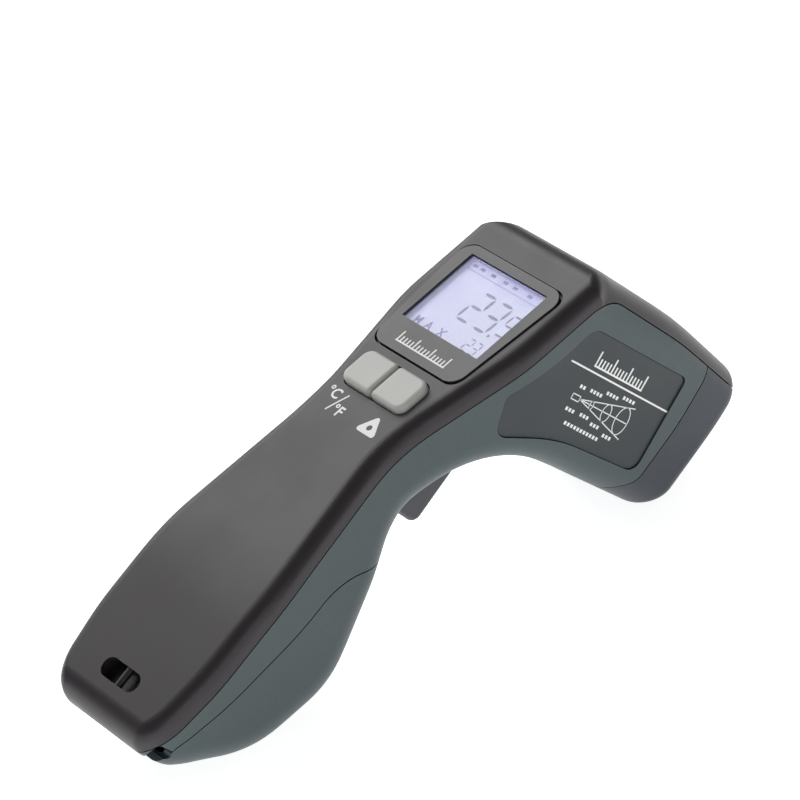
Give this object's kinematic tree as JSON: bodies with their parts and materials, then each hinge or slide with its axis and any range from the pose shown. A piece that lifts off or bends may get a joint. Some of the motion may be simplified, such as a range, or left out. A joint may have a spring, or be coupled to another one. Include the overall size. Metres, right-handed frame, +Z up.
{
  "type": "infrared thermometer",
  "caption": "Pistol-grip infrared thermometer with backlit display, two keys, sprung trigger, hinged battery door and lanyard slot.",
  "frame": {"origin": "centre of the footprint, on the surface that the instrument lies on", "axes": "+X from the handle's end towards the head, +Y towards the instrument's left side, +Z up; at rest it lies on the nose's lower lip and the battery door with the display facing up"},
  "size_m": [0.1682, 0.043, 0.0649],
  "materials": {
    "cover_black": "satin moulded ABS, charcoal",
    "body_slate": "satin moulded ABS, slate green-grey",
    "nose_grey": "satin moulded ABS, dark blue-grey",
    "label_grey": "fine matt polycarbonate label with white print",
    "bezel_grey": "satin printed bezel",
    "clear_window": "clear acrylic",
    "lcd_panel": "backlit display, pale lavender",
    "backlight_white": "white light guide",
    "key_grey": "light warm grey keys",
    "trigger_dark": "satin dark grey",
    "board_green": "green solder mask",
    "chip_black": "black moulding",
    "switch_plunger": "red-brown plunger",
    "steel": "plated steel",
    "battery_jacket": "plain printed metal jacket",
    "snap_vinyl": "black vinyl",
    "lead_red": "insulated lead",
    "tube_black": "matt black moulding",
    "lens_milky": "milky infrared-transparent polyethylene lens",
    "brass_body": "turned brass",
    "print_white": "white screen print",
    "display_ink": "dark display segments"
  },
  "bodies": {
    "root": {"back_cover": "cover_black", "battery": "battery_jacket", "battery_leads": "lead_red", "battery_snap": "snap_vinyl", "board_screws": "steel", "buzzer": "chip_black", "casing_screws": "steel", "display_bezel": "bezel_grey", "display_window": "clear_window", "door_hinge_pin": "steel", "ir_lens": "lens_milky", "lanyard_bar": "cover_black", "laser_leads": "lead_red", "laser_module": "brass_body", "laser_window": "clear_window", "lcd_backlight": "backlight_white", "lcd_glass": "lcd_panel", "left_body_shell": "body_slate", "left_key_switch": "chip_black", "left_label_plate": "label_grey", "lens_ring": "tube_black", "main_board": "board_green", "microcontroller": "chip_black", "nose_bezel": "nose_grey", "right_body_shell": "body_slate", "right_key_switch": "chip_black", "right_label_plate": "label_grey", "sensor_board": "board_green", "sensor_tube": "tube_black", "thermopile": "steel", "trigger_pin": "steel", "trigger_spring": "steel", "trigger_switch": "chip_black"},
    "trigger": {"trigger": "trigger_dark"},
    "left_key": {"left_key": "key_grey", "left_key_plunger": "switch_plunger"},
    "right_key": {"right_key": "key_grey", "right_key_plunger": "switch_plunger"},
    "trigger_plunger": {"trigger_switch_plunger": "switch_plunger"},
    "door": {"battery_door": "body_slate"}
  },
  "joints": [
    {"name": "trigger_pull", "type": "hinge", "parent": "root", "child": "trigger", "pos_m": [0.02185, 0, 0.04187], "axis": [0, 1, 0], "range_deg": [0, 7.5], "stiffness_Nm_per_rad": 0.3, "springref_deg": -5.73},
    {"name": "left_key_press", "type": "slide", "parent": "root", "child": "left_key", "axis": [0.2236, 0, -0.9747], "range_m": [0, 0.0007], "stiffness_N_per_m": 1200, "springref_m": -0.0004},
    {"name": "right_key_press", "type": "slide", "parent": "root", "child": "right_key", "axis": [0.2236, 0, -0.9747], "range_m": [0, 0.0007], "stiffness_N_per_m": 1200, "springref_m": -0.0004},
    {"name": "trigger_switch_press", "type": "slide", "parent": "root", "child": "trigger_plunger", "axis": [-0.2236, 0, 0.9747], "range_m": [0, 0.001]},
    {"name": "battery_door_swing", "type": "hinge", "parent": "root", "child": "door", "pos_m": [-0.07933, 0, 0.01124], "axis": [0, 1, 0], "range_deg": [0, 65]}
  ],
  "couplings": [
    {"joint": "trigger_switch_press", "follows": "trigger_pull", "m_per_rad": 0.006875}
  ]
}
